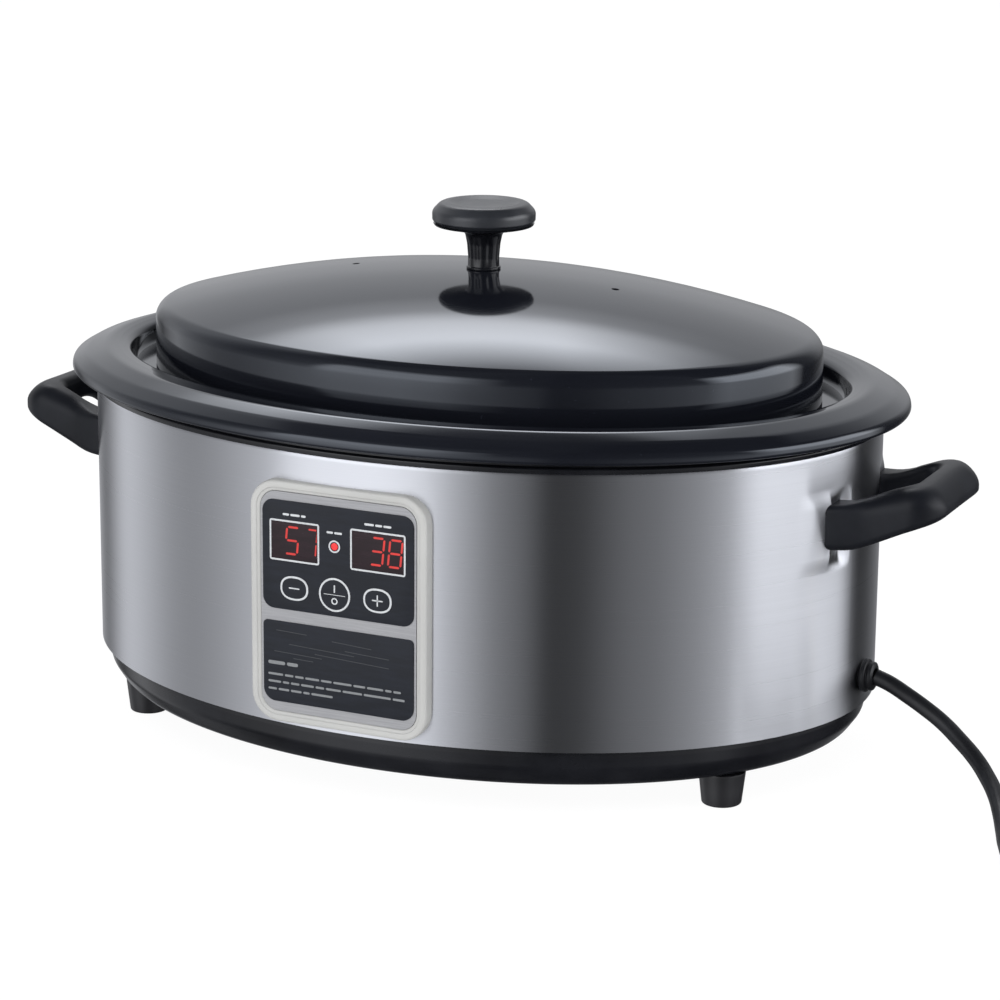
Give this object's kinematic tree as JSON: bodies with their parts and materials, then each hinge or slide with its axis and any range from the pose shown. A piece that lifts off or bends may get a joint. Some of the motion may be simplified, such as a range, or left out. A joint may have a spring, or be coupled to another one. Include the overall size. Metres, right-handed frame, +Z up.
{
  "type": "oval slow cooker",
  "caption": "Oval slow cooker with brushed steel wall, digital front panel, lift-out enamelled well, domed lid with round knob, side handles and a power cord.",
  "frame": {"origin": "on the table under the middle of the body", "axes": "+X along the length towards the cord, -Y towards the front with the panel, +Z up"},
  "size_m": [0.598, 0.2814, 0.2351],
  "materials": {
    "gloss_black": "glossy moulded black plastic",
    "zinc_plate": "zinc plated sheet, dull",
    "foot_black": "satin black moulded foot",
    "screw_steel": "plated steel",
    "wall_steel": "stainless sheet brushed along its length",
    "fibre": "fibre blanket",
    "heater_cloth": "heating element in woven mica cloth",
    "brass": "bright brass",
    "fuse_white": "off-white moulding",
    "satin_black": "satin black heat-resistant plastic",
    "bezel_grey": "warm light grey satin plastic",
    "plate_grey": "satin grey plate",
    "screen_black": "blue-black printed film, satin gloss",
    "display_red": "dark red display window with lit digits",
    "led_red": "red lamp lens",
    "board_green": "green circuit board",
    "board_tan": "tan circuit board",
    "core_steel": "laminated core and tape",
    "relay_blue": "blue relay case",
    "wire_mix": "insulated wires in red, blue, yellow and white",
    "cord_black": "black PVC cord and mouldings",
    "tie_black": "black cord tie",
    "enamel_black": "glossy black enamel on steel"
  },
  "bodies": {
    "chassis": {"base_skirt": "gloss_black", "bottom_plate": "zinc_plate", "feet": "foot_black", "base_screws": "screw_steel", "outer_wrap": "wall_steel", "trim_ring": "gloss_black", "inner_liner": "zinc_plate", "insulation": "fibre", "heater_band": "heater_cloth", "heater_terminals": "brass", "thermal_fuse": "fuse_white", "temp_probe": "screw_steel", "handle_left": "satin_black", "handle_right": "satin_black", "handle_plates": "zinc_plate", "handle_screws": "screw_steel", "control_bezel": "bezel_grey", "panel_plate": "plate_grey", "display_overlay": "screen_black", "lower_label": "screen_black", "display_left": "display_red", "display_right": "display_red", "heat_led": "led_red", "tact_switches": "satin_black", "control_pcb": "board_green", "pcb_screws": "screw_steel", "control_box": "satin_black", "power_board": "board_tan", "transformer": "core_steel", "relay": "relay_blue", "terminal_block": "fuse_white", "earth_screw": "brass", "wiring": "wire_mix", "cord_grommet": "cord_black", "power_cord": "cord_black", "cord_coil": "cord_black", "cord_tail": "cord_black", "cord_tie": "tie_black", "plug_body": "cord_black", "plug_pins": "brass"},
    "cookwell": {"cookwell": "enamel_black"},
    "lid": {"lid": "enamel_black", "knob_stem": "gloss_black", "knob_cap": "satin_black", "knob_washer": "screw_steel", "knob_screw": "screw_steel"},
    "button_minus": {"button_minus": "screen_black"},
    "button_onoff": {"button_onoff": "screen_black"},
    "button_plus": {"button_plus": "screen_black"}
  },
  "joints": [
    {"name": "well_lift", "type": "slide", "parent": "chassis", "child": "cookwell", "axis": [0, 0, 1], "range_m": [0, 0.13]},
    {"name": "lid_lift", "type": "slide", "parent": "cookwell", "child": "lid", "axis": [0, 0, 1], "range_m": [0, 0.12]},
    {"name": "press_minus", "type": "slide", "parent": "chassis", "child": "button_minus", "axis": [0, 1, 0], "range_m": [0, 0.0008], "stiffness_N_per_m": 2500, "springref_m": -0.0003},
    {"name": "press_onoff", "type": "slide", "parent": "chassis", "child": "button_onoff", "axis": [0, 1, 0], "range_m": [0, 0.0008], "stiffness_N_per_m": 2500, "springref_m": -0.0003},
    {"name": "press_plus", "type": "slide", "parent": "chassis", "child": "button_plus", "axis": [0, 1, 0], "range_m": [0, 0.0008], "stiffness_N_per_m": 2500, "springref_m": -0.0003}
  ]
}
